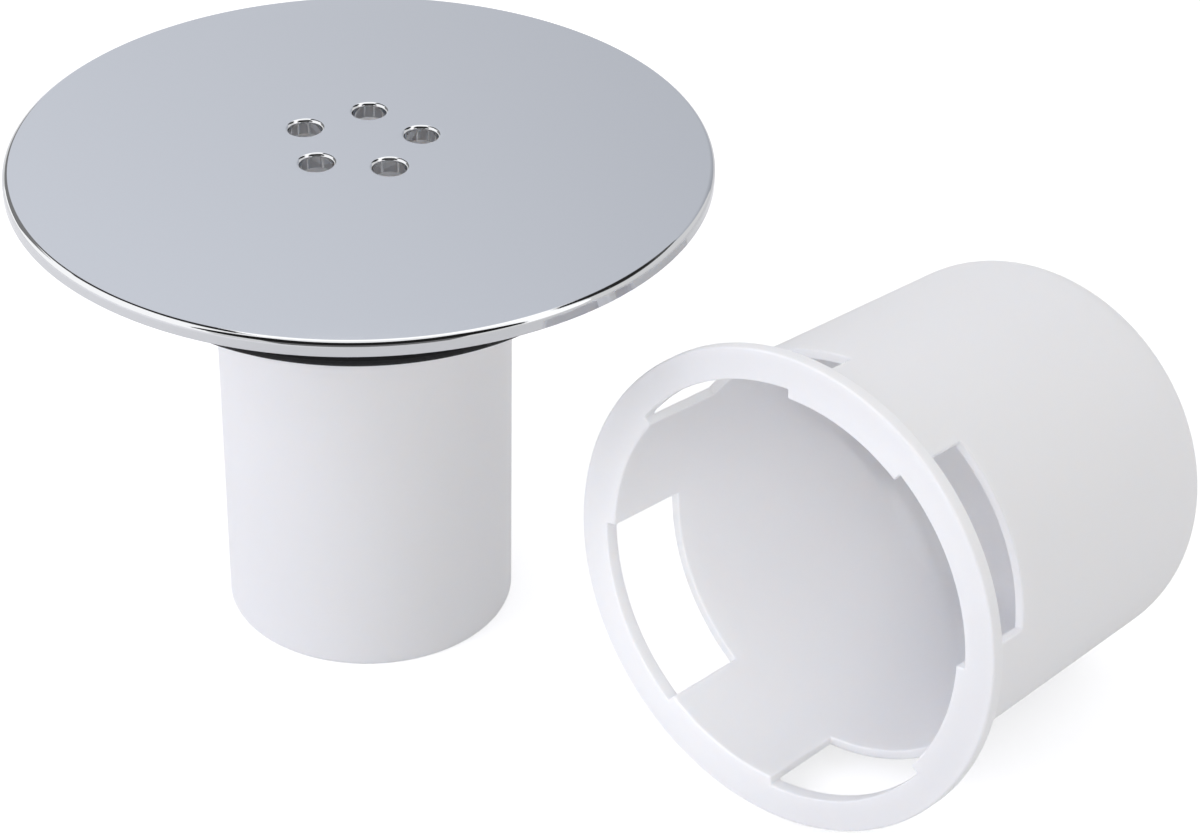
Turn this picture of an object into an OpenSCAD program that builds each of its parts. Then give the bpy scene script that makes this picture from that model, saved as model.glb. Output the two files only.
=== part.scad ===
// Shower drain for a 90 mm waste: a domed cover plate carried on a dip tube with a rubber seal,
// and the lift-out trap cup lying beside it. The tube stands on its open foot, on the Z axis.

/* [Cover plate] */
// Diameter of the cover plate
cover_d = 115; // [110:1:120]
// Height of the plate's crown above the tube's foot
cover_h = 88; // [84:0.5:94]
// Rise of the dome from its edge to its crown
cover_rise = 2.7; // [1.5:0.1:4]
// Wall of the plate
cover_wall = 2.5; // [2:0.1:3]
// Rounding of the plate's upper edge
cover_edge_r = 1; // [0.6:0.1:1.3]
// Rounding of the plate's lower edge
cover_rim_r = 0.3; // [0.2:0.05:0.5]

/* [Drain holes] */
// Number of drain holes
hole_count = 5; // [4:1:6]
// Diameter of a drain hole
hole_d = 5.4; // [4:0.1:6]
// Diameter of the circle that the holes stand on
hole_ring_d = 20; // [18:0.5:24]
// Rounding of a hole's upper edge
hole_lip_r = 0.6; // [0.3:0.05:0.8]
// Turn of the first hole from the X axis
hole_turn = 81; // [0:1:90]

/* [Dip tube] */
// Outside diameter of the tube
tube_d = 49.2; // [45:0.1:52]
// Wall of the tube and its funnel
tube_wall = 2; // [1.5:0.1:2.5]
// Rounding of the foot's outer edge
foot_r = 0.6; // [0.3:0.1:0.8]
// Slope of the funnel's floor
funnel_slope = 28; // [22:1:34]
// Rounding where the floor runs into the tube
throat_r = 4; // [2:0.5:6]
// Water gap between the collar and the plate's lower edge
water_gap = 6.8; // [5:0.1:9]

/* [Collar and seal] */
// Diameter of the collar's upper lip
collar_d = 82; // [80:0.5:83]
// Thickness of the upper lip
upper_lip_t = 1.65; // [1.2:0.05:2.5]
// Diameter of the collar's lower lip
lower_lip_d = 79.4; // [78.6:0.1:80.5]
// Thickness of the lower lip
lower_lip_t = 1; // [0.8:0.1:1.6]
// Outside diameter of the seal ring
seal_od = 84.2; // [83.5:0.1:85]
// Thickness of the seal ring
seal_t = 3.6; // [3:0.1:4]
// Clearance of the seal ring to its groove
seal_fit = 0.1; // [0.05:0.05:0.2]
// Rounding of the lips' edges
lip_r = 0.4; // [0.2:0.1:0.5]

/* [Posts and pegs] */
// Number of posts that carry the plate
post_count = 4; // [3:1:6]
// Diameter of the circle that the posts stand on
post_ring_d = 60; // [56:1:62]
// Diameter of a post
post_d = 8.4; // [7.5:0.1:9.5]
// Diameter of the peg that plugs into a post
peg_d = 4.6; // [4:0.1:5.5]
// Length of a peg below its pad
peg_len = 7; // [5:0.5:9]
// Clearance of a peg to its socket
peg_fit = 0.05; // [0.05:0.05:0.15]
// Least height of the pads that sit on the posts
pad_h = 0.5; // [0.3:0.1:1]
// Thickness of the rib behind each post
rib_t = 1.8; // [1.2:0.1:2.4]
// Drop of a rib's top below the collar's top
rib_drop = 1.5; // [1:0.1:3]

/* [Trap cup] */
// Diameter of the cup's flange
flange_d = 80.5; // [76:0.5:82]
// Thickness of the flange
flange_t = 2.6; // [2:0.1:3.2]
// Rounding of the flange's edges
flange_edge_r = 0.4; // [0.2:0.1:0.6]
// Outside diameter of the barrel at the flange
barrel_d = 70; // [66:0.5:72]
// Draft of the barrel
barrel_draft = 1.05; // [0.3:0.05:1.5]
// Whole length of the cup
cup_len = 74; // [65:1:85]
// Wall of the barrel
barrel_wall = 1.6; // [1.2:0.1:2.2]
// Thickness of the closed end
cup_floor = 1.8; // [1.4:0.1:2.5]
// Rounding of the closed end
end_r = 8.6; // [5:0.1:10]

/* [Windows] */
// Number of windows
window_count = 4; // [3:1:5]
// Angle that a window spans
window_angle = 52.6; // [40:0.2:56]
// Depth of a window from the flange's face
window_depth = 16; // [12:0.5:22]
// Turn of the windows round the cup's axis
window_turn = 58.6; // [0:0.2:89]
// Step from the barrel's side out to the notch in the flange
notch_step = 0.1; // [0.05:0.05:0.4]

/* [Place of the cup] */
// Centre of the flange's face along X
cup_x = 63; // [60:0.5:90]
// Centre of the flange's face along Y
cup_y = -61.7; // [-90:0.1:-60]
// Heading of the cup's closed end, from Y towards X
cup_heading = 45.1; // [30:0.1:60]

/* [Hidden] */

$fn = 180;
// overlap of a cut or a fused stub past a face
bite = 1;
// reach of a rim's section into the wall behind it
lap = 2;
// free depth of a socket under its peg
peg_gap = 0.5;

// cover plate
cover_r = cover_d / 2;
dome_r = (cover_r * cover_r + cover_rise * cover_rise) / (2 * cover_rise);
dome_z = cover_h - dome_r;
under_r = dome_r - cover_wall;
cover_edge_z = dome_z + sqrt(under_r * under_r - cover_r * cover_r);
hole_r = hole_d / 2;
hole_ring_r = hole_ring_d / 2;

// height of a sphere about the dome's centre, at a distance from the axis
function dome_height(sphere_r, r) = dome_z + sqrt(sphere_r * sphere_r - r * r);

// collar and seal
collar_r = collar_d / 2;
collar_z = cover_edge_z - water_gap;
groove_w = seal_t + 2 * seal_fit;
groove_top = collar_z - upper_lip_t;
groove_bottom = groove_top - groove_w;
seal_z = groove_top - groove_w / 2;
seal_ring_r = (seal_od - seal_t) / 2;
groove_r = seal_od / 2 - seal_t - seal_fit / 2;
lower_lip_r = lower_lip_d / 2;
lower_lip_z = groove_bottom - lower_lip_t;
collar_bore_r = groove_r - tube_wall;

// dip tube: underside and floor of the funnel as heights at a distance from the axis
tube_r = tube_d / 2;
bore_r = tube_r - tube_wall;
function underside_z(r) = lower_lip_z - (lower_lip_r - r) * tan(funnel_slope);
function floor_z(r) = underside_z(r) + tube_wall / cos(funnel_slope);

// posts, pads and pegs
post_r = post_d / 2;
post_ring_r = post_ring_d / 2;
seat_z = dome_height(under_r, post_ring_r + post_r) - pad_h;
socket_r = peg_d / 2 + peg_fit;
socket_depth = peg_len + peg_gap;

// trap cup, in its own frame: the flange's face at 0, the closed end up
flange_r = flange_d / 2;
barrel_r = barrel_d / 2;
cup_bore_r = barrel_r - barrel_wall;
inner_end_r = end_r - cup_floor;
function drafted(r, s) = r - (s - flange_t) * tan(barrel_draft);
function corner_r(r, s, round_r) = drafted(r, s) - round_r / cos(barrel_draft);

// the cup lies on its flange's back edge and on the rounding of its closed end
flange_touch = [flange_t - flange_edge_r, flange_r - flange_edge_r];
end_touch = [cup_len - end_r, corner_r(barrel_r, cup_len - end_r, end_r)];
touch_run = end_touch - flange_touch;
cup_tilt = asin((end_r - flange_edge_r) / norm(touch_run)) - atan2(-touch_run[1], touch_run[0]);
cup_z = flange_touch[1] * cos(cup_tilt) - flange_touch[0] * sin(cup_tilt) + flange_edge_r;

// spread copies round the Z axis, the first at a turn
module ring_of(count, radius, turn = 0) {
    for (i = [0 : count - 1])
        rotate(turn + i * 360 / count) translate([radius, 0, 0]) children();
}

// half section of a drafted can with a rounded far end; r is its radius at the flange's back
module can_section(r, len, round_r) {
    s = len - round_r;
    mid_r = corner_r(r, s, round_r);
    tangent = [mid_r + round_r * cos(barrel_draft), s + round_r * sin(barrel_draft)];
    polygon([[0, 0], [drafted(r, 0), 0], tangent, [mid_r, len], [0, len]]);
    translate([mid_r, s]) circle(round_r);
}

// half section of a ring with four rounded edges, from its inner radius out
module rounded_band(r_in, r_out, z_low, z_high, round_r) {
    for (r = [r_in + round_r, r_out - round_r], z = [z_low + round_r, z_high - round_r])
        translate([r, z]) circle(round_r, $fn = 48);
    translate([r_in + round_r, z_low]) square([r_out - r_in - 2 * round_r, z_high - z_low]);
    translate([r_in, z_low + round_r]) square([r_out - r_in, z_high - z_low - 2 * round_r]);
}

// cuts what lies beyond an arc, between two directions from its centre
module round_off(mid, round_r, from, to) {
    far = round_r + bite;
    half = (to - from) / 2;
    translate(mid) difference() {
        polygon([
            [0, 0], far * [cos(from), sin(from)],
            far / cos(half) * [cos(from + half), sin(from + half)], far * [cos(to), sin(to)]
        ]);
        circle(round_r, $fn = 96);
    }
}

// half section of the domed plate: a spherical wall with a rounded rim
module cover_section() {
    edge_mid_r = cover_r - cover_edge_r;
    rim_mid_r = cover_r - cover_rim_r;
    edge_turn = asin(edge_mid_r / (dome_r - cover_edge_r));
    rim_turn = asin(rim_mid_r / (under_r + cover_rim_r));
    difference() {
        intersection() {
            translate([0, dome_z]) circle(dome_r, $fn = 2880);
            translate([0, cover_edge_z - bite]) square([cover_r, cover_h]);
        }
        translate([0, dome_z]) circle(under_r, $fn = 2880);
        round_off([edge_mid_r, dome_height(dome_r - cover_edge_r, edge_mid_r)], cover_edge_r, 0, 90 - edge_turn);
        round_off([rim_mid_r, dome_height(under_r + cover_rim_r, rim_mid_r)], cover_rim_r, -90 - rim_turn, 0);
    }
}

// a drain hole cut square to the dome, with its upper lip rounded
module drain_hole() {
    translate([0, 0, dome_z]) rotate([0, asin(hole_ring_r / dome_r), 0]) rotate_extrude($fn = 64) {
        translate([0, under_r - bite]) square([hole_r, cover_wall + 2 * bite]);
        round_off([hole_r + hole_lip_r, dome_r - hole_lip_r], hole_lip_r, 90, 180);
    }
}

module cover_plate() {
    color([0.77, 0.78, 0.81]) difference() {
        union() {
            rotate_extrude() cover_section();
            ring_of(post_count, post_ring_r, 45) {
                translate([0, 0, seat_z]) cylinder(r = post_r, h = dome_height(under_r, post_ring_r) - seat_z + bite);
                translate([0, 0, seat_z - peg_len]) cylinder(r = peg_d / 2, h = peg_len + bite, $fn = 64);
            }
        }
        ring_of(hole_count, 0, hole_turn) drain_hole();
    }
}

// half section of the tube, its funnel and the grooved collar
module dip_section() {
    neck_z = underside_z(tube_r);
    mouth_z = floor_z(bore_r);
    neck_run = throat_r * tan((90 - funnel_slope) / 2);
    difference() {
        union() {
            polygon([
                [bore_r, 0], [tube_r, 0], [tube_r, neck_z - neck_run],
                [tube_r + neck_run * cos(funnel_slope), neck_z + neck_run * sin(funnel_slope)],
                [lower_lip_r - lip_r, underside_z(lower_lip_r - lip_r)],
                [lower_lip_r - lip_r, groove_bottom], [groove_r, groove_bottom], [groove_r, groove_top],
                [collar_r - bite, groove_top], [collar_r - bite, collar_z - lip_r],
                [collar_bore_r, collar_z - lip_r], [collar_bore_r, floor_z(collar_bore_r)],
                [bore_r, mouth_z]
            ]);
            rounded_band(collar_bore_r, collar_r, groove_top, collar_z, lip_r);
            rounded_band(lower_lip_r - lap, lower_lip_r, lower_lip_z, groove_bottom, lip_r);
        }
        translate([tube_r + throat_r, neck_z - neck_run]) circle(throat_r, $fn = 120);
        round_off([tube_r - foot_r, foot_r], foot_r, -90, 0);
        round_off([bore_r + throat_r, mouth_z - neck_run], throat_r, 90 + funnel_slope, 180);
    }
}

// space above the middle of the funnel's floor, which the posts and ribs grow from
module above_floor() {
    lift = tube_wall / 2;
    rotate_extrude() polygon([
        [bore_r, underside_z(bore_r) + lift], [collar_r, underside_z(collar_r) + lift],
        [collar_r, cover_h], [bore_r, cover_h]
    ]);
}

module dip_tube() {
    rib_len = collar_bore_r - post_ring_r + tube_wall / 2;
    color([0.95, 0.95, 0.96]) difference() {
        union() {
            rotate_extrude() dip_section();
            intersection() {
                above_floor();
                ring_of(post_count, post_ring_r, 45) {
                    cylinder(r = post_r, h = seat_z, $fn = 72);
                    translate([0, -rib_t / 2, 0]) cube([rib_len, rib_t, collar_z - rib_drop]);
                }
            }
        }
        ring_of(post_count, post_ring_r, 45)
            translate([0, 0, seat_z - socket_depth]) cylinder(r = socket_r, h = socket_depth + bite, $fn = 64);
    }
}

module seal_ring() {
    color([0.12, 0.12, 0.13]) rotate_extrude()
        translate([seal_ring_r, seal_z]) circle(seal_t / 2, $fn = 64);
}

// the cup's wall as a revolve: flange, drafted barrel and rounded end
module cup_shell() {
    mouth_mid_r = drafted(cup_bore_r, flange_edge_r) + flange_edge_r / cos(barrel_draft);
    rotate_extrude() difference() {
        union() {
            can_section(barrel_r, cup_len, end_r);
            rounded_band(cup_bore_r - lap, flange_r, 0, flange_t, flange_edge_r);
        }
        can_section(cup_bore_r, cup_len - cup_floor, inner_end_r);
        round_off([mouth_mid_r, flange_edge_r], flange_edge_r, 180 + barrel_draft, 270);
    }
}

// a window: a sector of the wall, open through the flange's inner edge
module window() {
    rotate(-window_angle / 2) translate([0, 0, -bite]) rotate_extrude(angle = window_angle)
        translate([cup_bore_r / 2, 0]) square([barrel_r + notch_step - cup_bore_r / 2, window_depth + bite]);
}

module trap_cup() {
    color([0.94, 0.94, 0.96])
        translate([cup_x, cup_y, cup_z]) rotate([90 - cup_tilt, 0, 180 - cup_heading]) difference() {
            cup_shell();
            ring_of(window_count, 0, window_turn) window();
        }
}

cover_plate();
dip_tube();
seal_ring();
trap_cup();
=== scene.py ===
"""Shower drain: the chrome cover on its sealed dip tube, and the trap cup beside it, on a studio floor."""

import math
from collections import namedtuple

import bpy
from bpy.props import FloatProperty, FloatVectorProperty, IntProperty, PointerProperty
from bpy.types import Operator, Panel, PropertyGroup
from mathutils import Euler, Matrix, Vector


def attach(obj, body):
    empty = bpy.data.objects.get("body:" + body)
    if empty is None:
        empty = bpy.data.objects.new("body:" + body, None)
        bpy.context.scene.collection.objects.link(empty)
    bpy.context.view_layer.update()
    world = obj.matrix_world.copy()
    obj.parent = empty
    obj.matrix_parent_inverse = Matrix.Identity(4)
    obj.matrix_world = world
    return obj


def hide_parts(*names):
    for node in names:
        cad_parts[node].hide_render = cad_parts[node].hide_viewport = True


bl_info = {
    "name": "Shower Drain",
    "version": (1, 0, 0),
    "blender": (4, 5, 0),
    "location": "3D View > Sidebar > Shower Drain",
    "description": "Models a lift-out shower drain around its CAD frame and sets up its studio",
    "category": "Object",
}

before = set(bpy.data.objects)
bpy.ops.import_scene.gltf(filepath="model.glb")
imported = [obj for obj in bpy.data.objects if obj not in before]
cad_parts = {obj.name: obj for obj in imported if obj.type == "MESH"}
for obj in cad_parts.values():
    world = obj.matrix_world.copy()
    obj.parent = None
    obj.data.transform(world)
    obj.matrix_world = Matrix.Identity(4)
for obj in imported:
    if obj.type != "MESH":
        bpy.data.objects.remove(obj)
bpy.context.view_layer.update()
BODY = "root"

# the floor's width and the distance of the cards from the cover plate, in metres
FLOOR_WIDTH = 6.0
CARD_REACH = 2.5


def linear(hex_code):
    """The linear red, green and blue of an sRGB hex colour."""
    channels = [int(hex_code[i:i + 2], 16) / 255 for i in (0, 2, 4)]
    return [c / 12.92 if c <= 0.04045 else ((c + 0.055) / 1.055) ** 2.4 for c in channels]


def mm(value):
    """A length in millimetres as metres."""
    return value * 0.001


# points closer together than this are merged
MERGE = mm(0.001)

# how near a face or an edge lies to the place where it is looked for
NEAR = mm(0.02)

# room above and below the seal ring, inside it, round a peg and under its tip
GROOVE_ROOM = mm(0.1)
SEAL_ROOM = mm(0.05)
PEG_ROOM = mm(0.05)
SOCKET_ROOM = mm(0.5)

# faces in one turn of each turned piece, many enough that no flat shows
COVER_FACES = 288
TUBE_FACES = 224
SEAL_FACES = 256
POST_FACES = 72
PAD_FACES = 64
HOLE_FACES = 72

# faces of the cup's barrel across one window, and between two
WINDOW_FACES = 36
WEB_FACES = 26


# Materials


def add_node(tree, kind, inputs=None, **settings):
    """Adds a node with its settings. An input that is given as a socket is linked, and any other is set."""
    node = tree.nodes.new(kind)
    for name, value in settings.items():
        setattr(node, name, value)
    for name, value in (inputs or {}).items():
        if isinstance(value, bpy.types.NodeSocket):
            tree.links.new(value, node.inputs[name])
        else:
            node.inputs[name].default_value = value
    return node


def new_material(name):
    """An empty node material and its tree."""
    material = bpy.data.materials.new(name)
    material.use_nodes = True
    material.node_tree.nodes.clear()
    return material, material.node_tree


def chrome_plating(finish):
    """Decorative chrome on plated ABS: a hard mirror with the faint swell of the moulding under it."""
    material, tree = new_material("chrome_plating")
    place = add_node(tree, "ShaderNodeTexCoord").outputs["Object"]
    # the swell of the moulding, about 14 mm from crest to crest
    swell = add_node(tree, "ShaderNodeTexNoise", {"Vector": place, "Scale": 70.0, "Detail": 1.0})
    # fine haze left by wiping, about 3 mm across
    haze = add_node(tree, "ShaderNodeTexNoise", {"Vector": place, "Scale": 330.0, "Detail": 3.0})
    rough = add_node(tree, "ShaderNodeMapRange", {
        "Value": haze.outputs["Fac"],
        "To Min": finish.chrome_roughness * 0.7, "To Max": finish.chrome_roughness * 1.5,
    })
    bump = add_node(tree, "ShaderNodeBump", {
        "Height": swell.outputs["Fac"], "Strength": 0.02, "Distance": mm(0.2),
    })
    shader = add_node(tree, "ShaderNodeBsdfPrincipled", {
        "Base Color": [*finish.chrome_colour, 1.0], "Metallic": 1.0,
        "Roughness": rough.outputs["Result"], "Normal": bump.outputs["Normal"],
    })
    add_node(tree, "ShaderNodeOutputMaterial", {"Surface": shader.outputs["BSDF"]})
    return material


def white_polypropylene(finish):
    """Moulded polypropylene: a milky satin white that light enters a little, with a spark-eroded grain."""
    material, tree = new_material("white_polypropylene")
    place = add_node(tree, "ShaderNodeTexCoord").outputs["Object"]
    # grain of the tool, drawn at 0.5 mm, coarser than the real 0.1 mm so that it shows
    grain = add_node(tree, "ShaderNodeTexNoise", {"Vector": place, "Scale": 2000.0, "Detail": 2.0})
    # slow drift of the sheen along the flow of the melt, about 25 mm
    flow = add_node(tree, "ShaderNodeTexNoise", {"Vector": place, "Scale": 40.0, "Detail": 2.0})
    rough = add_node(tree, "ShaderNodeMapRange", {
        "Value": flow.outputs["Fac"],
        "To Min": finish.white_roughness - 0.05, "To Max": finish.white_roughness + 0.05,
    })
    bump = add_node(tree, "ShaderNodeBump", {
        "Height": grain.outputs["Fac"], "Strength": 0.05, "Distance": mm(0.05),
    })
    shader = add_node(tree, "ShaderNodeBsdfPrincipled", {
        "Base Color": [*finish.white_colour, 1.0], "Roughness": rough.outputs["Result"], "IOR": 1.49,
        "Subsurface Weight": 1.0, "Subsurface Radius": (1.0, 0.95, 0.9), "Subsurface Scale": mm(1),
        "Normal": bump.outputs["Normal"],
    })
    add_node(tree, "ShaderNodeOutputMaterial", {"Surface": shader.outputs["BSDF"]})
    return material


def nitrile_rubber(finish):
    """Moulded nitrile rubber: near black and dull, with a soft sheen and a dusting of talc."""
    material, tree = new_material("nitrile_rubber")
    place = add_node(tree, "ShaderNodeTexCoord").outputs["Object"]
    # talc in the surface, in flecks of about 0.6 mm
    talc = add_node(tree, "ShaderNodeTexNoise", {"Vector": place, "Scale": 1600.0, "Detail": 4.0})
    tint = add_node(tree, "ShaderNodeMix", {
        "Factor": talc.outputs["Fac"], "A": [*finish.rubber_colour, 1.0], "B": [*finish.talc_colour, 1.0],
    }, data_type="RGBA")
    bump = add_node(tree, "ShaderNodeBump", {
        "Height": talc.outputs["Fac"], "Strength": 0.2, "Distance": mm(0.03),
    })
    shader = add_node(tree, "ShaderNodeBsdfPrincipled", {
        "Base Color": tint.outputs["Result"], "Roughness": 0.7, "IOR": 1.52, "Specular IOR Level": 0.2,
        "Normal": bump.outputs["Normal"],
    })
    add_node(tree, "ShaderNodeOutputMaterial", {"Surface": shader.outputs["BSDF"]})
    return material


def white_seen(tree, level, mirror_level):
    """One level for the camera's rays, one for mirrors and glass, and nothing for the light on surfaces."""
    ray = add_node(tree, "ShaderNodeLightPath")
    mirrored = add_node(tree, "ShaderNodeMath", {
        0: ray.outputs["Is Glossy Ray"], 1: ray.outputs["Is Transmission Ray"],
    }, operation="MAXIMUM")
    seen = add_node(tree, "ShaderNodeMath", {
        0: ray.outputs["Is Camera Ray"], 1: level,
    }, operation="MULTIPLY")
    return add_node(tree, "ShaderNodeMath", {
        0: mirrored.outputs["Value"], 1: mirror_level, 2: seen.outputs["Value"],
    }, operation="MULTIPLY_ADD").outputs["Value"]


def studio_floor(stage):
    """Matt white board, which keeps soft shadows and shows white to the camera and in the chrome."""
    material, tree = new_material("studio_floor")
    board = add_node(tree, "ShaderNodeBsdfDiffuse", {"Color": [*stage.floor_colour, 1.0]})
    place = add_node(tree, "ShaderNodeTexCoord").outputs["Object"]
    parts = add_node(tree, "ShaderNodeSeparateXYZ", {"Vector": place})
    # in the chrome, the board grows lighter to the left of the drain
    mirrored = add_node(tree, "ShaderNodeMapRange", {
        "Value": parts.outputs["X"], "From Min": mm(-220), "From Max": mm(-60),
        "To Min": stage.floor_mirrored_left, "To Max": stage.floor_mirrored,
    })
    glow = add_node(tree, "ShaderNodeEmission", {
        "Strength": white_seen(tree, stage.floor_glow, mirrored.outputs["Result"]),
    })
    both = add_node(tree, "ShaderNodeAddShader", {0: board.outputs["BSDF"], 1: glow.outputs["Emission"]})
    add_node(tree, "ShaderNodeOutputMaterial", {"Surface": both.outputs["Shader"]})
    return material


def studio_world(stage):
    """White surroundings for the camera and for reflections, and a dimmer, even light for the surfaces."""
    world = bpy.data.worlds.new("studio_world")
    world.use_nodes = True
    tree = world.node_tree
    tree.nodes.clear()
    soft = add_node(tree, "ShaderNodeBackground", {"Strength": stage.sky_level})
    white = add_node(tree, "ShaderNodeBackground", {"Strength": 1.0})
    soft.inputs["Color"].default_value = [*linear("FDFDFF"), 1.0]
    white.inputs["Color"].default_value = [*linear("FFFFFF"), 1.0]
    both = add_node(tree, "ShaderNodeMixShader", {
        0: white_seen(tree, 1.0, 1.0), 1: soft.outputs["Background"], 2: white.outputs["Background"],
    })
    add_node(tree, "ShaderNodeOutputWorld", {"Surface": both.outputs["Shader"]})
    return world


def card_finish(plan, height):
    """A card's own light: a level that runs from left to right, with its lift from low to high."""
    material, tree = new_material(plan.name)
    place = add_node(tree, "ShaderNodeTexCoord").outputs["Object"]
    parts = add_node(tree, "ShaderNodeSeparateXYZ", {"Vector": place})
    across = add_node(tree, "ShaderNodeMapRange", {
        "Value": parts.outputs["X"], "From Min": -CARD_REACH, "From Max": CARD_REACH,
        "To Min": plan.across[0], "To Max": plan.across[1],
    })
    reach = CARD_REACH * plan.share
    low, high = (height + reach * math.sin(math.radians(rise)) for rise in plan.lift_rises)
    lift = add_node(tree, "ShaderNodeMapRange", {
        "Value": parts.outputs["Z"], "From Min": low, "From Max": high,
        "To Min": 0.0, "To Max": plan.lift,
    })
    level = add_node(tree, "ShaderNodeMath", {
        0: across.outputs["Result"], 1: lift.outputs["Result"],
    }, operation="ADD")
    glow = add_node(tree, "ShaderNodeEmission", {
        "Color": [*linear(plan.colour), 1.0], "Strength": level.outputs["Value"],
    })
    add_node(tree, "ShaderNodeOutputMaterial", {"Surface": glow.outputs["Emission"]})
    return material


# Sizes, colours and light that a user would change


def length(name, description, value):
    """A length property, with its default in millimetres."""
    return FloatProperty(
        name=name, description=description, default=mm(value), min=0.0, unit="LENGTH", precision=4)


def angle(name, description, value):
    """An angle property, with its default in degrees."""
    return FloatProperty(name=name, description=description, default=math.radians(value), unit="ROTATION")


def colour(name, description, hex_code):
    """A colour property, with its default as an sRGB hex colour."""
    return FloatVectorProperty(
        name=name, description=description, default=linear(hex_code), subtype="COLOR", size=3, min=0.0,
        max=1.0)


def number(name, description, value, low=0.0, high=1.0):
    """A property without a unit, between two bounds."""
    return FloatProperty(name=name, description=description, default=value, min=low, max=high)


def power(name, description, value):
    """A lamp's power, in watts."""
    return FloatProperty(name=name, description=description, default=value, min=0.0, unit="POWER")


class DrainCover(PropertyGroup):
    """Sizes of the cover plate."""

    width: length("Diameter", "Diameter of the cover plate", 115)
    height: length("Height", "Height of the crown above the tube's foot", 88)
    rise: length("Rise", "Rise of the dome from its edge to its crown", 2.7)
    wall: length("Wall", "Thickness of the plate", 2.5)
    edge_round: length("Upper edge", "Rounding of the plate's upper edge", 1)
    rim_round: length("Lower edge", "Rounding of the plate's lower edge", 0.3)
    holes: IntProperty(name="Holes", description="Number of drain holes", default=5, min=1, max=8)
    hole: length("Hole", "Diameter of a drain hole", 5.4)
    hole_ring: length("Hole circle", "Diameter of the circle that the holes stand on", 20)
    hole_lip: length("Hole lip", "Rounding of a hole's upper edge", 0.6)
    hole_turn: angle("Hole turn", "Turn of the first hole from the X axis", 81)
    pad: length("Pad", "Least height of the pads under the plate", 0.5)
    peg: length("Peg", "Diameter of a peg", 4.6)
    peg_length: length("Peg length", "Length of a peg below its pad", 7)


class DrainTube(PropertyGroup):
    """Sizes of the dip tube and its seal ring."""

    width: length("Diameter", "Outside diameter of the tube", 49.2)
    wall: length("Wall", "Thickness of the tube and its funnel", 2)
    foot: length("Foot", "Rounding of the foot's outer edge", 0.6)
    slope: angle("Slope", "Slope of the funnel's floor", 28)
    throat: length("Throat", "Rounding where the funnel runs into the tube", 4)
    water_gap: length("Water gap", "Gap between the collar and the plate's edge", 6.8)
    collar: length("Collar", "Diameter of the collar's upper lip", 82)
    upper_lip: length("Upper lip", "Thickness of the upper lip", 1.65)
    lower_width: length("Lower lip diameter", "Diameter of the collar's lower lip", 79.4)
    lower_lip: length("Lower lip", "Thickness of the lower lip", 1)
    lip_round: length("Lip edges", "Rounding of the lips' edges", 0.4)
    seal_width: length("Seal diameter", "Outside diameter of the seal ring", 84.2)
    seal: length("Seal", "Thickness of the seal ring", 3.6)
    posts: IntProperty(name="Posts", description="Number of posts under the plate", default=4, min=3, max=6)
    post: length("Post", "Diameter of a post", 8.4)
    post_ring: length("Post circle", "Diameter of the circle that the posts stand on", 60)
    rib: length("Rib", "Thickness of the rib behind each post", 1.8)
    rib_drop: length("Rib drop", "Drop of a rib's top below the collar's top", 1.5)


class DrainCup(PropertyGroup):
    """Sizes and place of the trap cup."""

    flange_width: length("Flange", "Diameter of the flange", 80.5)
    flange: length("Flange thickness", "Thickness of the flange", 2.6)
    flange_round: length("Flange edges", "Rounding of the flange's edges", 0.4)
    width: length("Barrel", "Outside diameter of the barrel at the flange", 70)
    draft: angle("Draft", "Draft of the barrel", 1.05)
    length: length("Length", "Whole length of the cup", 74)
    wall: length("Wall", "Thickness of the barrel", 1.6)
    floor: length("Closed end", "Thickness of the closed end", 1.8)
    end_round: length("End rounding", "Rounding of the closed end", 8.6)
    windows: IntProperty(name="Windows", description="Number of windows", default=4, min=3, max=5)
    window_angle: angle("Window", "Angle that a window spans", 52.6)
    window_depth: length("Window depth", "Depth of a window from the flange's face", 16)
    window_turn: angle("Window turn", "Turn of the windows round the cup's axis", 58.6)
    window_round: length("Window edges", "Rounding of the windows' edges", 0.3)
    place: FloatVectorProperty(
        name="Place", description="Middle of the flange's face along X and Y", size=2, unit="LENGTH",
        default=(mm(63), mm(-61.7)))
    heading: angle("Heading", "Heading of the closed end, from Y towards X", 45.1)


class DrainFinish(PropertyGroup):
    """Colours and gloss of the finishes."""

    chrome_colour: colour("Chrome", "Colour of the chrome plating", "CACBCD")
    chrome_roughness: number("Chrome roughness", "Roughness of the polished chrome", 0.04)
    white_colour: colour("White plastic", "Colour of the moulded polypropylene", "F8F8FA")
    white_roughness: number(
        "Plastic roughness", "Roughness of the moulded polypropylene", 0.42, low=0.1, high=0.9)
    rubber_colour: colour("Rubber", "Colour of the seal ring", "101011")
    talc_colour: colour("Talc", "Colour of the dusting on the rubber", "1C1C1E")


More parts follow.
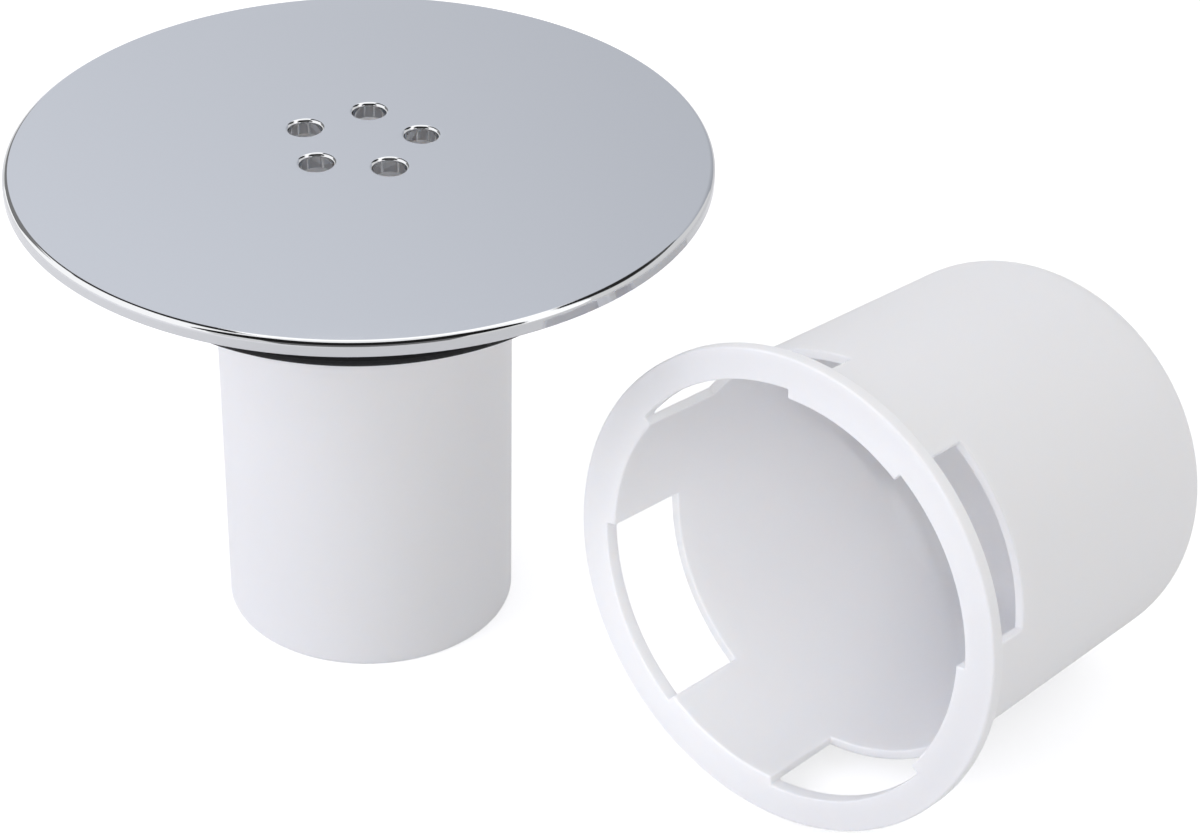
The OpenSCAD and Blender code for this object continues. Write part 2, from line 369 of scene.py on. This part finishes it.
class DrainStage(PropertyGroup):
    """Camera, light and floor."""

    camera_place: FloatVectorProperty(
        name="Camera", description="Place of the camera", subtype="TRANSLATION", unit="LENGTH", size=3,
        default=(0.0, -0.474133, 0.347771))
    camera_turn: FloatVectorProperty(
        name="Camera turn", description="Turn of the camera about X, Y and Z", subtype="EULER",
        unit="ROTATION", size=3, default=[math.radians(turn) for turn in (56.51979, -0.98426, -4.14567)])
    lens: number(
        "Lens", "Focal length on a 36 mm sensor, in millimetres", 99.78, low=20.0, high=300.0)
    sky_level: number(
        "Surrounding light", "Strength of the even light from all round", 0.76, high=2.0)
    key_power: power("Key lamp", "Power of the large lamp on the left", 2.9)
    side_power: power("Side lamp", "Power of the low lamp on the left", 1.2)
    mouth_power: power("Mouth lamp", "Power of the lamp into the cup's mouth", 7.5)
    tube_power: power("Tube lamp", "Power of the lamp inside the dip tube", 0.01)
    floor_colour: colour("Floor", "Colour of the floor", "E6E6E6")
    floor_glow: number("Floor glow", "White that the floor adds for the camera", 0.52)
    floor_mirrored: number("Floor in chrome", "White that the floor adds in the chrome", 0.24)
    floor_mirrored_left: number("Left floor in chrome", "White that its left part adds there", 0.41)


# Modelling


def deselect_all():
    """Deselects every object."""
    bpy.ops.object.select_all(action="DESELECT")


def arc(mid, radius, start, end, steps):
    """Points of an arc in the half section, from one angle to another."""
    turns = [start + (end - start) * i / steps for i in range(steps + 1)]
    return [(mid[0] + radius * math.cos(turn), mid[1] + radius * math.sin(turn)) for turn in turns]


def spread(start, end, steps):
    """Evenly spaced values from start to end."""
    return [start + (end - start) * i / steps for i in range(steps + 1)]


def draw_section(name, points):
    """Starts a piece in edit mode: one point, extruded through a half section's (radius, height) points."""
    deselect_all()
    bpy.ops.mesh.primitive_plane_add(size=mm(1), location=(points[0][0], 0.0, points[0][1]))
    piece = bpy.context.object
    piece.name = piece.data.name = name
    bpy.ops.object.transform_apply(location=True)
    bpy.ops.object.mode_set(mode="EDIT")
    bpy.ops.mesh.select_mode(type="VERT")
    bpy.ops.mesh.select_all(action="SELECT")
    bpy.ops.mesh.merge(type="CENTER")
    for here, there in zip(points, points[1:]):
        step = (there[0] - here[0], 0.0, there[1] - here[1])
        bpy.ops.mesh.extrude_region_move(TRANSFORM_OT_translate={"value": step})
    return piece


def spin_section(turns):
    """Spins the drawn section about Z through each (angle, steps) in turn, and closes the mesh."""
    bpy.ops.mesh.select_all(action="SELECT")
    for angle, steps in turns:
        bpy.ops.mesh.spin(
            steps=steps, angle=angle, center=(0, 0, 0), axis=(0, 0, -1), use_auto_merge=False)
    bpy.ops.mesh.select_all(action="SELECT")
    bpy.ops.mesh.remove_doubles(threshold=MERGE)
    bpy.ops.mesh.delete_loose()
    bpy.ops.mesh.select_all(action="SELECT")
    bpy.ops.mesh.normals_make_consistent(inside=False)


def lathe(name, points, steps):
    """A turned piece: its section drawn and spun once round Z."""
    piece = draw_section(name, points)
    spin_section([(math.tau, steps)])
    bpy.ops.object.mode_set(mode="OBJECT")
    return piece


def copies_round(model, count, turn):
    """Copies a piece round Z, the first at a turn, each with its own mesh, and joins them into one."""
    pieces = [model]
    for _ in range(count - 1):
        twin = model.copy()
        twin.data = model.data.copy()
        bpy.context.collection.objects.link(twin)
        pieces.append(twin)
    deselect_all()
    for i, piece in enumerate(pieces):
        piece.rotation_euler.z += turn + i * math.tau / count
        piece.select_set(True)
    bpy.context.view_layer.objects.active = model
    bpy.ops.object.join()
    bpy.ops.object.transform_apply(location=True, rotation=True, scale=True)
    return model


def combine(piece, tool, operation):
    """Applies a Boolean of a tool to a piece, and removes the tool."""
    modifier = piece.modifiers.new(operation.title(), "BOOLEAN")
    modifier.operation = operation
    modifier.solver = "EXACT"
    modifier.object = tool
    bpy.context.view_layer.objects.active = piece
    bpy.ops.object.modifier_apply(modifier=modifier.name)
    bpy.data.objects.remove(tool, do_unlink=True)


def select_where(kind, test):
    """Selects the faces whose middle passes a test, or the edges whose two ends do; stays in edit mode."""
    bpy.ops.mesh.select_mode(type=kind)
    bpy.ops.mesh.select_all(action="DESELECT")
    bpy.ops.object.mode_set(mode="OBJECT")
    mesh = bpy.context.object.data
    if kind == "FACE":
        for face in mesh.polygons:
            face.select = test(face.center)
    else:
        for edge in mesh.edges:
            ends = [mesh.vertices[i].co for i in edge.vertices]
            edge.select = all(test(end) for end in ends)
    bpy.ops.object.mode_set(mode="EDIT")


def finish_piece(piece, node_name, material, sharp=35):
    """Smooths a piece, gives it its finish and puts it in the CAD node's stead."""
    deselect_all()
    piece.select_set(True)
    bpy.context.view_layer.objects.active = piece
    bpy.ops.object.shade_smooth_by_angle(angle=math.radians(sharp))
    modifier = piece.modifiers.new("Even shading", "WEIGHTED_NORMAL")
    modifier.keep_sharp = True
    bpy.ops.object.modifier_apply(modifier=modifier.name)
    piece.data.materials.clear()
    piece.data.materials.append(material)
    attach(piece, BODY)
    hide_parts(node_name)


# Cover plate


def dome(cover):
    """Radius and height of the centre of the dome's upper face."""
    radius = cover.width / 2
    dome_r = (radius ** 2 + cover.rise ** 2) / (2 * cover.rise)
    return dome_r, cover.height - dome_r


def on_sphere(sphere_r, centre_z, r):
    """Height of a sphere at a distance from the axis."""
    return centre_z + math.sqrt(sphere_r ** 2 - r ** 2)


def under_edge(cover):
    """Height of the dome's underside at the plate's edge."""
    dome_r, dome_z = dome(cover)
    return on_sphere(dome_r - cover.wall, dome_z, cover.width / 2)


def cover_section(cover):
    """Half section of the domed wall, from its crown round the edge to the middle of its underside."""
    dome_r, dome_z = dome(cover)
    under_r = dome_r - cover.wall
    edge_r = cover.width / 2 - cover.edge_round
    rim_r = cover.width / 2 - cover.rim_round
    edge_turn = math.asin(edge_r / (dome_r - cover.edge_round))
    rim_turn = math.asin(rim_r / (under_r + cover.rim_round))
    crown = spread(0.0, dome_r * math.sin(edge_turn), 40)
    under = spread(under_r * math.sin(rim_turn), 0.0, 28)
    edge_mid = (edge_r, on_sphere(dome_r - cover.edge_round, dome_z, edge_r))
    rim_mid = (rim_r, on_sphere(under_r + cover.rim_round, dome_z, rim_r))
    quarter = math.pi / 2
    return (
        [(r, on_sphere(dome_r, dome_z, r)) for r in crown[:-1]]
        + arc(edge_mid, cover.edge_round, quarter - edge_turn, 0.0, 18)
        + arc(rim_mid, cover.rim_round, 0.0, -quarter - rim_turn, 8)
        + [(r, on_sphere(under_r, dome_z, r)) for r in under[1:]]
    )


def hole_cutter(cover):
    """The tool for one drain hole: a turned plug, square to the dome, that flares over the rounded lip."""
    dome_r, dome_z = dome(cover)
    lean = math.asin(cover.hole_ring / 2 / dome_r)
    clear = mm(1)
    low = dome_r - cover.wall - clear
    high = dome_r + clear
    lip_mid = (cover.hole / 2 + cover.hole_lip, dome_r - cover.hole_lip)
    plug = lathe("hole_cutter", (
        [(0.0, low), (cover.hole / 2, low)]
        + arc(lip_mid, cover.hole_lip, math.pi, math.pi / 2, 8)
        + [(lip_mid[0], high), (0.0, high)]
    ), HOLE_FACES)
    plug.rotation_euler = (0.0, lean, 0.0)
    plug.location = (0.0, 0.0, dome_z)
    deselect_all()
    plug.select_set(True)
    bpy.ops.object.transform_apply(location=True, rotation=True, scale=True)
    return plug


def seat_height(cover, tube):
    """Height of the posts' tops, which the plate's pads sit on."""
    dome_r, dome_z = dome(cover)
    return on_sphere(dome_r - cover.wall, dome_z, tube.post_ring / 2 + tube.post / 2) - cover.pad


def pad_with_peg(cover, tube):
    """One pad under the plate with its peg: a cylinder inset and extruded down, its tip chamfered."""
    dome_r, dome_z = dome(cover)
    seat = seat_height(cover, tube)
    ring = tube.post_ring / 2
    top = on_sphere(dome_r - cover.wall, dome_z, ring) + cover.wall / 2
    chamfer = mm(0.4)
    deselect_all()
    bpy.ops.mesh.primitive_cylinder_add(
        vertices=PAD_FACES, radius=tube.post / 2, depth=top - seat, location=(ring, 0.0, (top + seat) / 2))
    pad = bpy.context.object
    pad.name = "pad_with_peg"
    bpy.ops.object.transform_apply(location=True)
    bpy.ops.object.mode_set(mode="EDIT")
    select_where("FACE", lambda mid: mid.z < seat + NEAR)
    bpy.ops.mesh.inset(thickness=(tube.post - cover.peg) / 2)
    bpy.ops.mesh.extrude_region_move(TRANSFORM_OT_translate={"value": (0.0, 0.0, -cover.peg_length)})
    bpy.ops.mesh.bevel(offset=chamfer, segments=2, affect="EDGES")
    bpy.ops.object.mode_set(mode="OBJECT")
    return pad


class DRAIN_OT_cover_plate(Operator):
    """Model the domed cover plate with its drain holes, pads and pegs"""

    bl_idname = "drain.cover_plate"
    bl_label = "Cover Plate"

    def execute(self, context):
        scene = context.scene
        cover, tube = scene.drain_cover, scene.drain_tube
        piece = lathe("chrome_cover_plate", cover_section(cover), COVER_FACES)
        post_turn = math.pi / tube.posts
        combine(piece, copies_round(pad_with_peg(cover, tube), tube.posts, post_turn), "UNION")
        combine(piece, copies_round(hole_cutter(cover), cover.holes, cover.hole_turn), "DIFFERENCE")
        finish_piece(piece, "cover_plate", chrome_plating(scene.drain_finish))
        return {"FINISHED"}


# Dip tube


def collar_levels(cover, tube):
    """Heights of the collar's top, the groove's top and floor, and the lower lip's underside."""
    top = under_edge(cover) - tube.water_gap
    groove_top = top - tube.upper_lip
    groove_floor = groove_top - tube.seal - 2 * GROOVE_ROOM
    return top, groove_top, groove_floor, groove_floor - tube.lower_lip


def groove_radius(tube):
    """Radius of the seal groove's bottom."""
    return tube.seal_width / 2 - tube.seal - SEAL_ROOM


def tube_section(cover, tube):
    """Half section of the open tube, the funnel and the grooved collar, round and back to its start."""
    top, groove_top, groove_floor, low = collar_levels(cover, tube)
    outer = tube.width / 2
    bore = outer - tube.wall
    groove = groove_radius(tube)
    collar_bore = groove - tube.wall
    collar = tube.collar / 2
    lower = tube.lower_width / 2
    slope = tube.slope
    lip = tube.lip_round
    half, quarter = math.pi, math.pi / 2

    def underside(r):
        return low - (lower - r) * math.tan(slope)

    def floor(r):
        return underside(r) + tube.wall / math.cos(slope)

    run = tube.throat * math.tan((quarter - slope) / 2)
    return (
        [(bore, 0.0)]
        + arc((outer - tube.foot, tube.foot), tube.foot, -quarter, 0.0, 6)
        + arc((outer + tube.throat, underside(outer) - run), tube.throat, half, quarter + slope, 12)
        + [(lower - lip, underside(lower - lip))]
        + arc((lower - lip, low + lip), lip, -quarter, 0.0, 5)
        + arc((lower - lip, groove_floor - lip), lip, 0.0, quarter, 5)
        + [(groove, groove_floor), (groove, groove_top)]
        + arc((collar - lip, groove_top + lip), lip, -quarter, 0.0, 5)
        + arc((collar - lip, top - lip), lip, 0.0, quarter, 5)
        + arc((collar_bore + lip, top - lip), lip, quarter, half, 5)
        + [(collar_bore, floor(collar_bore))]
        + arc((bore + tube.throat, floor(bore) - run), tube.throat, quarter + slope, half, 12)
        + [(bore, z) for z in spread(floor(bore) - run, 0.0, 6)[1:]]
    )


def socketed_post(cover, tube):
    """One post with its socket and the rib behind it, cut off on a slant inside the funnel's wall."""
    top, _, _, low = collar_levels(cover, tube)
    seat = seat_height(cover, tube)
    ring = tube.post_ring / 2
    reach = groove_radius(tube) - tube.wall / 2 - ring
    rib_top = top - tube.rib_drop
    deselect_all()
    bpy.ops.mesh.primitive_cube_add(size=1.0, location=(ring + reach / 2, 0.0, rib_top / 2))
    rib = bpy.context.object
    rib.scale = (reach, tube.rib, rib_top)
    bpy.ops.object.transform_apply(location=True, scale=True)
    deselect_all()
    bpy.ops.mesh.primitive_cylinder_add(
        vertices=POST_FACES, radius=tube.post / 2, depth=seat, location=(ring, 0.0, seat / 2))
    post = bpy.context.object
    post.name = "socketed_post"
    bpy.ops.object.transform_apply(location=True)
    combine(post, rib, "UNION")
    bpy.ops.object.mode_set(mode="EDIT")
    select_where("FACE", lambda mid: mid.z > seat - NEAR)
    bpy.ops.mesh.inset(thickness=(tube.post - cover.peg) / 2 - PEG_ROOM)
    bpy.ops.mesh.extrude_region_move(
        TRANSFORM_OT_translate={"value": (0.0, 0.0, -cover.peg_length - SOCKET_ROOM)})
    bpy.ops.mesh.select_all(action="SELECT")
    slant = (-math.sin(tube.slope), 0.0, math.cos(tube.slope))
    underside = low - (tube.lower_width / 2 - ring) * math.tan(tube.slope)
    middle = underside + tube.wall / math.cos(tube.slope) / 2
    bpy.ops.mesh.bisect(plane_co=(ring, 0.0, middle), plane_no=slant, use_fill=True, clear_inner=True)
    bpy.ops.object.mode_set(mode="OBJECT")
    return post


class DRAIN_OT_dip_tube(Operator):
    """Model the dip tube with its funnel, grooved collar and posts"""

    bl_idname = "drain.dip_tube"
    bl_label = "Dip Tube"

    def execute(self, context):
        scene = context.scene
        cover, tube = scene.drain_cover, scene.drain_tube
        piece = lathe("white_dip_tube", tube_section(cover, tube), TUBE_FACES)
        post_turn = math.pi / tube.posts
        combine(piece, copies_round(socketed_post(cover, tube), tube.posts, post_turn), "UNION")
        finish_piece(piece, "dip_tube", white_polypropylene(scene.drain_finish))
        return {"FINISHED"}


class DRAIN_OT_seal_ring(Operator):
    """Model the rubber seal ring with the faint line that its mould leaves"""

    bl_idname = "drain.seal_ring"
    bl_label = "Seal Ring"

    def execute(self, context):
        scene = context.scene
        cover, tube = scene.drain_cover, scene.drain_tube
        _, groove_top, groove_floor, _ = collar_levels(cover, tube)
        mid = ((tube.seal_width - tube.seal) / 2, (groove_top + groove_floor) / 2)
        flash = math.radians(1.5)
        flash_height = mm(0.04)
        points = arc(mid, tube.seal / 2, 2 * flash, math.tau - 2 * flash, 44)
        points += arc(mid, tube.seal / 2 + flash_height, -flash, flash, 1)
        piece = lathe("rubber_seal_ring", points + points[:1], SEAL_FACES)
        finish_piece(piece, "seal_ring", nitrile_rubber(scene.drain_finish), sharp=60)
        return {"FINISHED"}


# Trap cup


def drafted(cup, radius, s):
    """Radius of a drafted wall at a distance from the flange's face."""
    return radius - (s - cup.flange) * math.tan(cup.draft)


def can_end(cup, radius, length, end_round):
    """Centre of the rounding at the closed end of a drafted wall."""
    s = length - end_round
    return drafted(cup, radius, s) - end_round / math.cos(cup.draft), s


def cup_section(cup):
    """Half section of the cup: the flange, then the barrel and closed end outside and inside, and back."""
    outer = cup.width / 2
    inner = outer - cup.wall
    rim = cup.flange_width / 2
    lip = cup.flange_round
    quarter = math.pi / 2
    outer_end = can_end(cup, outer, cup.length, cup.end_round)
    inner_round = cup.end_round - cup.floor
    inner_end = can_end(cup, inner, cup.length - cup.floor, inner_round)
    mouth = (drafted(cup, inner, lip) + lip / math.cos(cup.draft), lip)
    depth = cup.window_depth
    barrel = spread(depth, outer_end[1], 6)[1:-1]
    bore = spread(inner_end[1], depth, 6)[1:-1]
    return (
        [(outer, 0.0)]
        + arc((rim - lip, lip), lip, -quarter, 0.0, 6)
        + arc((rim - lip, cup.flange - lip), lip, 0.0, quarter, 6)
        + [(outer, cup.flange), (drafted(cup, outer, depth), depth)]
        + [(drafted(cup, outer, s), s) for s in barrel]
        + arc(outer_end, cup.end_round, cup.draft, quarter, 16)
        + [(outer_end[0] * share, cup.length) for share in (0.75, 0.5, 0.25)]
        + [(0.0, cup.length), (0.0, cup.length - cup.floor)]
        + [(inner_end[0] * share, cup.length - cup.floor) for share in (0.25, 0.5, 0.75)]
        + arc(inner_end, inner_round, quarter, cup.draft, 14)
        + [(drafted(cup, inner, s), s) for s in bore]
        + [(drafted(cup, inner, depth), depth)]
        + arc(mouth, lip, math.pi + cup.draft, 3 * quarter, 6)
        + [(outer, 0.0)]
    )


def cup_lie(cup):
    """Tilt of the cup and height of its flange's middle as it lies on its flange and its rounded end."""
    lip = cup.flange_round
    flange_touch = Vector((cup.flange - lip, cup.flange_width / 2 - lip))
    end_r, end_s = can_end(cup, cup.width / 2, cup.length, cup.end_round)
    run = Vector((end_s, end_r)) - flange_touch
    tilt = math.asin((cup.end_round - lip) / run.length) - math.atan2(-run.y, run.x)
    return tilt, flange_touch.y * math.cos(tilt) - flange_touch.x * math.sin(tilt) + lip


def open_windows(cup):
    """Opens the windows in the spun cup, each at the start of its part of the turn, and walls them up."""
    outer = cup.width / 2
    pitch = math.tau / cup.windows

    def turn(point):
        return math.atan2(point.y, point.x) % math.tau

    def spacing(point):
        return math.hypot(point.x, point.y)

    select_where("FACE", lambda point: (
        turn(point) % pitch < cup.window_angle and point.z < cup.window_depth - NEAR
        and spacing(point) < outer + NEAR))
    bpy.ops.mesh.delete(type="FACE")
    slack = math.radians(0.05)
    for i in range(cup.windows):
        start = i * pitch

        def inside(point):
            offset = (turn(point) - start + slack) % math.tau
            return offset < cup.window_angle + 2 * slack

        select_where("EDGE", lambda point: inside(point) and abs(point.z - cup.window_depth) < NEAR)
        bpy.ops.mesh.bridge_edge_loops()
        select_where("EDGE", lambda point: (
            inside(point) and abs(spacing(point) - outer) < NEAR
            and (point.z < NEAR or abs(point.z - cup.flange) < NEAR)))
        bpy.ops.mesh.bridge_edge_loops()
        for side in (start, start + cup.window_angle):
            axis = Vector((math.cos(side), math.sin(side), 0.0))
            select_where("EDGE", lambda point: (
                abs(axis.cross(point).z) < NEAR and axis.dot(point) > 0.0
                and point.z < cup.window_depth + NEAR and spacing(point) < outer + NEAR))
            bpy.ops.mesh.edge_face_add()


class DRAIN_OT_trap_cup(Operator):
    """Model the trap cup with its flange and windows, and lay it beside the cover"""

    bl_idname = "drain.trap_cup"
    bl_label = "Trap Cup"

    def execute(self, context):
        scene = context.scene
        cup = scene.drain_cup
        piece = draw_section("white_trap_cup", cup_section(cup))
        web = math.tau / cup.windows - cup.window_angle
        spin_section([(cup.window_angle, WINDOW_FACES), (web, WEB_FACES)] * cup.windows)
        open_windows(cup)
        bpy.ops.mesh.select_all(action="SELECT")
        bpy.ops.mesh.remove_doubles(threshold=MERGE)
        bpy.ops.mesh.normals_make_consistent(inside=False)
        bpy.ops.mesh.select_mode(type="EDGE")
        bpy.ops.mesh.select_all(action="DESELECT")
        bpy.ops.mesh.edges_select_sharp(sharpness=math.radians(50))
        bpy.ops.mesh.bevel(offset=cup.window_round, segments=3, affect="EDGES", clamp_overlap=True)
        bpy.ops.object.mode_set(mode="OBJECT")
        turn_first = cup.window_turn - cup.window_angle / 2
        piece.rotation_euler = (0.0, 0.0, turn_first)
        deselect_all()
        piece.select_set(True)
        bpy.ops.object.transform_apply(rotation=True)
        tilt, height = cup_lie(cup)
        piece.location = (cup.place[0], cup.place[1], height)
        piece.rotation_euler = (math.pi / 2 - tilt, 0.0, math.pi - cup.heading)
        bpy.ops.object.transform_apply(location=True, rotation=True, scale=True)
        finish_piece(piece, "trap_cup", white_polypropylene(scene.drain_finish))
        return {"FINISHED"}


# Stage


# Cards that only the chrome sees. Angles are in degrees: turns run from the back to the right, rises from
# the horizon up, and leans are what the two side edges turn further by their top. The light runs from one
# level at the far left to another at the far right, and lift is what is added to it at the top of
# lift_rises. Share is the card's part of the shell's distance.
Card = namedtuple("Card", "name turns rises across leans lift lift_rises share colour",
                  defaults=((0, 0), 0.0, (0, 90), 1.0, "FFFFFF"))
CARDS = (
    Card("back_board", (-18, 45), (1, 44), (1.315, 0.455), lift=0.126, lift_rises=(17, 43),
         colour="F2F6FF"),
    Card("left_gap_low", (-54, -15.5), (12, 36), (0.3, 0.3), share=0.96),
    Card("left_gap_mid", (-32, -15), (36, 44), (0.12, 0.12), (-6, 4.5), share=0.96),
    Card("left_gap_high", (-46, -8.5), (44, 56), (0.04, 0.04), (-4, -6.5), share=0.96),
    Card("left_gap_top", (-50, -15), (56, 71), (0.04, 0.04), (-32, -23), share=0.96),
    Card("right_gap_low", (15, 80), (38.5, 43), (0.12, 0.12), (-1, 3), share=0.96),
    Card("right_gap_mid", (14, 83), (43, 52), (0.03, 0.03), (6, -3), share=0.96),
    Card("right_gap_high", (20, 80), (52, 61), (0.03, 0.03), (24, -14), share=0.96),
    Card("left_bank", (-136, -38), (1, 62), (1.55, 1.55), (14, 0)),
    Card("right_bank_low", (112, 133), (14, 40), (1.7, 1.7), (-14, -9)),
    Card("right_bank", (98, 124), (40, 66), (1.7, 1.7), (-24, -10)),
    Card("back_bank", (-60, 75), (43, 75), (1.8, 1.8), share=1.04),
    Card("top_bank", (-180, 180), (60, 90), (1.35, 1.35), share=1.08),
    Card("front_flag", (130, 235), (26, 73), (0.02, 0.02), (-16, 11), share=0.96),
    Card("front_flag_low", (156, 204), (0, 26), (0.22, 0.22), (-8, 8), share=0.96),
)


def set_card(plan, height):
    """Stands a card on the shell round the plate: an arc drawn from low to high and spun to its width."""
    reach = CARD_REACH * plan.share
    low, high = (math.radians(rise) for rise in plan.rises)
    span = math.radians(plan.turns[1] - plan.turns[0])
    card = draw_section(plan.name, arc((0.0, height), reach, low, high, 12))
    steps = max(2, round(math.degrees(span) / 6))
    bpy.ops.mesh.select_all(action="SELECT")
    bpy.ops.mesh.spin(steps=steps, angle=span, center=(0, 0, 0), axis=(0, 0, 1), use_auto_merge=False)
    bpy.ops.object.mode_set(mode="OBJECT")
    for vertex in card.data.vertices:
        across = -math.atan2(vertex.co.y, vertex.co.x) / span
        up = (math.asin((vertex.co.z - height) / reach) - low) / (high - low)
        lean = up * math.radians((1 - across) * plan.leans[0] + across * plan.leans[1])
        vertex.co.rotate(Euler((0.0, 0.0, -lean)))
    card.rotation_euler.z = math.radians(90 - plan.turns[0])
    bpy.ops.object.transform_apply(rotation=True)
    card.data.materials.append(card_finish(plan, height))
    for kind in ("camera", "diffuse", "shadow", "transmission", "volume_scatter"):
        setattr(card, "visible_" + kind, False)


def add_lamp(name, kind, place, watts, aim=None):
    """Adds a lamp that the chrome doesn't mirror, aimed at a point if one is given."""
    bpy.ops.object.light_add(type=kind, location=place)
    lamp = bpy.context.object
    lamp.name = name
    lamp.data.energy = watts
    lamp.visible_glossy = False
    if aim is not None:
        lamp.rotation_euler = (Vector(aim) - lamp.location).to_track_quat("-Z", "Y").to_euler()
    return lamp


def set_soft_lamp(name, place, size, watts):
    """Sets a square lamp of a faint blue, aimed at the middle of the object."""
    lamp = add_lamp(name, "AREA", place, watts, aim=(0.03, -0.02, 0.04))
    lamp.data.shape = "SQUARE"
    lamp.data.size = size
    lamp.data.color = linear("EAECFF")


def set_mouth_lamp(cup, stage):
    """Sets a narrow lamp that looks into the cup's mouth from the camera's side."""
    left = mm(4)
    reach = 0.8
    mouth = Vector((cup.place[0] - left, cup.place[1], cup.flange_width / 2))
    seen = (Vector(stage.camera_place) - mouth).normalized()
    lamp = add_lamp("mouth_lamp", "SPOT", mouth + reach * seen, stage.mouth_power, aim=mouth)
    # the cone is as wide as the barrel at the mouth, and a larger lamp would blur it
    lamp.data.spot_size = 2 * math.atan(0.51 * cup.width / reach)
    lamp.data.spot_blend = 0.65
    lamp.data.shadow_soft_size = mm(10)


def set_tube_lamp(stage):
    """Sets a faint lamp in the dip tube, for the light that its wall lets in and the drain holes show."""
    lamp = add_lamp("tube_lamp", "POINT", (0.0, 0.0, mm(50)), stage.tube_power)
    lamp.data.shadow_soft_size = mm(12)
    lamp.visible_camera = False


class DRAIN_OT_stage(Operator):
    """Set up the floor, the lamps, the surroundings and the camera"""

    bl_idname = "drain.stage"
    bl_label = "Stage"

    def execute(self, context):
        scene = context.scene
        stage = scene.drain_stage
        scene.world = studio_world(stage)
        scene.view_settings.view_transform = "Standard"

        bpy.ops.mesh.primitive_plane_add(size=FLOOR_WIDTH, location=(0.0, 0.0, 0.0))
        floor = context.object
        floor.name = "studio_floor"
        floor.data.materials.append(studio_floor(stage))

        for plan in CARDS:
            set_card(plan, scene.drain_cover.height)

        set_soft_lamp("key_lamp", (-0.85, -0.42, 0.8), 0.6, stage.key_power)
        set_soft_lamp("side_lamp", (-1.05, -0.3, 0.22), 0.4, stage.side_power)
        set_mouth_lamp(scene.drain_cup, stage)
        set_tube_lamp(stage)

        bpy.ops.object.camera_add(location=stage.camera_place)
        camera = context.object
        camera.name = "photo_camera"
        camera.rotation_euler = stage.camera_turn
        camera.data.sensor_fit = "HORIZONTAL"
        camera.data.sensor_width = 36.0
        camera.data.lens = stage.lens
        camera.data.clip_start = mm(10)
        scene.camera = camera
        return {"FINISHED"}


class DRAIN_PT_panel(Panel):
    """Sidebar panel with the drain's pieces and its stage"""

    bl_idname = "DRAIN_PT_panel"
    bl_label = "Shower Drain"
    bl_space_type = "VIEW_3D"
    bl_region_type = "UI"
    bl_category = "Shower Drain"

    def draw(self, context):
        layout = self.layout
        for step in STEPS:
            layout.operator(step.bl_idname)
        for group in (getattr(context.scene, name) for name in GROUPS):
            box = layout.box()
            for name in group.__annotations__:
                box.prop(group, name)


STEPS = (DRAIN_OT_stage, DRAIN_OT_cover_plate, DRAIN_OT_dip_tube, DRAIN_OT_seal_ring, DRAIN_OT_trap_cup)
GROUPS = {
    "drain_cover": DrainCover,
    "drain_tube": DrainTube,
    "drain_cup": DrainCup,
    "drain_finish": DrainFinish,
    "drain_stage": DrainStage,
}
CLASSES = (*GROUPS.values(), *STEPS, DRAIN_PT_panel)


def register():
    for cls in CLASSES:
        bpy.utils.register_class(cls)
    for name, group in GROUPS.items():
        setattr(bpy.types.Scene, name, PointerProperty(type=group))


def unregister():
    for name in GROUPS:
        delattr(bpy.types.Scene, name)
    for cls in reversed(CLASSES):
        bpy.utils.unregister_class(cls)


def main():
    register()
    for step in STEPS:
        area, name = step.bl_idname.split(".")
        getattr(getattr(bpy.ops, area), name)()


if __name__ == "__main__":
    main()
